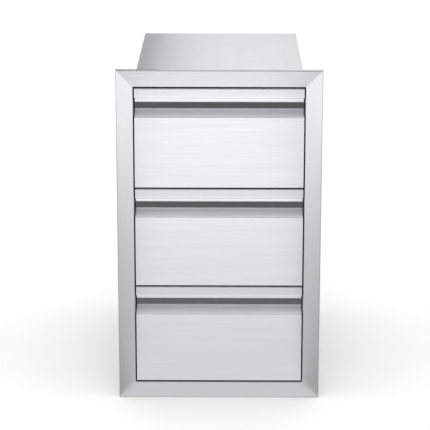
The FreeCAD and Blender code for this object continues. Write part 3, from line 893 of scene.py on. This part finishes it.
# %% Cards
def card(name, corners, strength, far_strength=None):
    """A card that only the metal mirrors. Its light can change from its near end to its far one."""
    piece = flat_piece(name, corners)
    material, tree = new_material(name)
    shader = add_node(tree, "ShaderNodeEmission", {"Color": linear("FFFFFF"), "Strength": strength})
    if far_strength is not None:
        depths = [corner[1] for corner in corners]
        where = add_node(tree, "ShaderNodeTexCoord").outputs["Object"]
        place = add_node(tree, "ShaderNodeSeparateXYZ", {}, {"Vector": where})
        fade = add_node(
            tree, "ShaderNodeMapRange",
            {
                "interpolation_type": "SMOOTHSTEP",
                "From Min": max(depths),
                "From Max": min(depths),
                "To Min": strength,
                "To Max": far_strength,
            },
            {"Value": place.outputs["Y"]},
        )
        tree.links.new(fade.outputs["Result"], shader.inputs["Strength"])
    add_node(tree, "ShaderNodeOutputMaterial", {}, {"Surface": shader.outputs["Emission"]})
    piece.data.materials.append(material)
    piece.visible_camera = False
    piece.visible_diffuse = False
    piece.visible_shadow = False


# %% Cards in front, overhead and behind
WALL_DEPTH = -6.5
CEILING_HEIGHT = 4.4
CEILING_HALF = 3.0
PALE_CEILING = (-2.2, 1.0)   # from this depth to that one, with the dark ceiling before it
DARK = 0.11
PALE = 1.8
BRIGHT = 1.5
BLACK = 0.0
in_front = upright(left=-6.0, right=6.0, depth=WALL_DEPTH, bottom=FLOOR_LEVEL, top=7.0)
dark_part = level((-CEILING_HALF, WALL_DEPTH), (CEILING_HALF, PALE_CEILING[0]), CEILING_HEIGHT)
pale_part = level((-CEILING_HALF, PALE_CEILING[0]), (CEILING_HALF, PALE_CEILING[1]), CEILING_HEIGHT)
card("dark_wall_in_front", in_front, DARK)
card("dark_ceiling_in_front", dark_part, DARK)
card("pale_ceiling", pale_part, PALE)
card("dark_wall_behind", upright(left=-4.0, right=4.0, depth=3.0, bottom=0.6, top=1.9), BLACK)
card("bright_panel_behind", upright(left=-0.22, right=0.42, depth=2.95, bottom=1.0, top=1.9), BRIGHT)
print("ceiling cards %.1f m above the unit's middle" % (CEILING_HEIGHT - OPENING_MIDDLE))

# %% Strip and grey paper on the floor
JUST_ABOVE = FLOOR_LEVEL + 1 * MM
STRIP_HALF = 0.150           # half the strip's width where it meets the unit
STRIP_TAPER = 0.044          # how much wider each side gets in one metre
STRIP_MIDDLE = -0.012        # how far its middle moves in one metre, here to the left
PAPER_SIDE = 2.0             # how far the grey paper reaches to each side
FADE_END = -3.0              # depth from which on the floor cards keep their full brightness


def half_width(depth):
    """Half of the strip's width at a place in front of the unit."""
    return STRIP_HALF + STRIP_TAPER * abs(depth)


def strip_left(depth):
    """The strip's left edge there."""
    return STRIP_MIDDLE * abs(depth) - half_width(depth)


def strip_right(depth):
    """The strip's right edge there."""
    return STRIP_MIDDLE * abs(depth) + half_width(depth)


def floor_card(name, near, far, left_edge, right_edge, strength, far_strength):
    """A card on the floor between two depths. Its edges are functions of the depth."""
    sides = ((left_edge, near), (right_edge, near), (right_edge, far), (left_edge, far))
    corners = [(edge(depth), depth, JUST_ABOVE) for edge, depth in sides]
    card(name, corners, strength, far_strength)


def paper_left(depth):
    """The left edge of the grey paper, which is the same at every depth."""
    return -PAPER_SIDE


def paper_right(depth):
    """Its right edge."""
    return PAPER_SIDE


# The floor cards' light is painted: dim near the unit, where it shades the floor, and bright further off.
STRIP = (0.82, 1.5)          # strength at the unit and from the end of the fade on
PAPER = (0.47, 1.15)
for name, left_edge, right_edge, (dim_end, bright_end) in (
    ("graded_strip", strip_left, strip_right, STRIP),
    ("grey_paper_left", paper_left, strip_left, PAPER),
    ("grey_paper_right", strip_right, paper_right, PAPER),
):
    floor_card(name, FRONT_PLANE, FADE_END, left_edge, right_edge, dim_end, bright_end)
    floor_card(name + "_far", FADE_END, WALL_DEPTH, left_edge, right_edge, bright_end, bright_end)
print("the strip is %.0f mm wide at the unit" % (2 * half_width(FRONT_PLANE) / MM))

# %% The end of the strip before the bottom rail
RAIL_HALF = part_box("trim_bottom")[1].x
RAIL_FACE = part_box("trim_bottom")[1].z - FLOOR_LEVEL
SIGHT_LINE = math.radians(20.9)     # how steeply the camera looks down at the bottom rail
rail_seen_at = FRONT_PLANE - RAIL_FACE / math.tan(SIGHT_LINE)
ABOVE_THE_STRIP = JUST_ABOVE + 0.5 * MM     # so that this end covers the paper and the strip
before_the_rail = [
    (-RAIL_HALF, FRONT_PLANE, ABOVE_THE_STRIP),
    (RAIL_HALF, FRONT_PLANE, ABOVE_THE_STRIP),
    (strip_right(rail_seen_at), rail_seen_at, ABOVE_THE_STRIP),
    (strip_left(rail_seen_at), rail_seen_at, ABOVE_THE_STRIP),
]
card("strip_before_the_rail", before_the_rail, STRIP[0])
print("the bottom rail mirrors the floor up to %.0f mm before it" % ((FRONT_PLANE - rail_seen_at) / MM))

# %% [markdown]
# Lamp
#
# One long softbox hangs at the height of the ceiling cards and gives the unit its soft shadow on the
# floor. The metal mirrors the cards, so the lamp itself is left out of reflections.

# %% Lamp
def softbox(name, place, target, size, watts):
    """A rectangular soft lamp that points at a target."""
    lamp = bpy.data.lights.new(name, "AREA")
    lamp.shape = "RECTANGLE"
    lamp.size, lamp.size_y = size
    lamp.energy = watts
    piece = bpy.data.objects.new(name, lamp)
    piece.location = place
    piece.rotation_euler = (Vector(target) - Vector(place)).to_track_quat("-Z", "Y").to_euler()
    piece.visible_camera = False
    piece.visible_glossy = False
    bpy.context.scene.collection.objects.link(piece)
    return piece


overhead = softbox(
    "softbox_overhead",
    place=(0.0, -2.4, CEILING_HEIGHT),
    target=(0.0, 0.0, 0.3),
    size=(1.5, 3.0),
    watts=32,
)
print("lamp of %.0f W, %.1f m up" % (overhead.data.energy, overhead.location.z))

# %% [markdown]
# Camera
#
# The camera stands a little right of the middle, about three metres in front of the unit and 1.2 m up,
# and looks down at it by about 16 degrees. Its place, turn and focal length were worked out from the
# edges of the unit in the photograph. The photograph's frame is square.

# %% Camera
IMAGE_PIXELS = 430
FOCAL_PIXELS = 1869.39
SENSOR = 36.0
CAMERA_PLACE = (0.01496, -3.1359, 1.2070)
CAMERA_TURN = math.radians(-0.4048)
CAMERA_TILT = math.radians(15.6242)
CAMERA_ROLL = math.radians(0.0349)

lens = bpy.data.cameras.new("camera")
lens.sensor_width = SENSOR
lens.lens = SENSOR * FOCAL_PIXELS / IMAGE_PIXELS
camera = bpy.data.objects.new("camera", lens)
bpy.context.scene.collection.objects.link(camera)
forward = Vector((
    math.sin(CAMERA_TURN) * math.cos(CAMERA_TILT),
    math.cos(CAMERA_TURN) * math.cos(CAMERA_TILT),
    -math.sin(CAMERA_TILT),
))
right = Vector((math.cos(CAMERA_TURN), -math.sin(CAMERA_TURN), 0.0))
up = right.cross(forward)
right_rolled = math.cos(CAMERA_ROLL) * right + math.sin(CAMERA_ROLL) * up
up_rolled = -math.sin(CAMERA_ROLL) * right + math.cos(CAMERA_ROLL) * up
turn = Matrix((right_rolled, up_rolled, -forward)).transposed()
camera.matrix_world = Matrix.Translation(CAMERA_PLACE) @ turn.to_4x4()
bpy.context.scene.camera = camera
bpy.context.scene.view_settings.view_transform = "Standard"
print("lens of %.1f mm" % lens.lens)
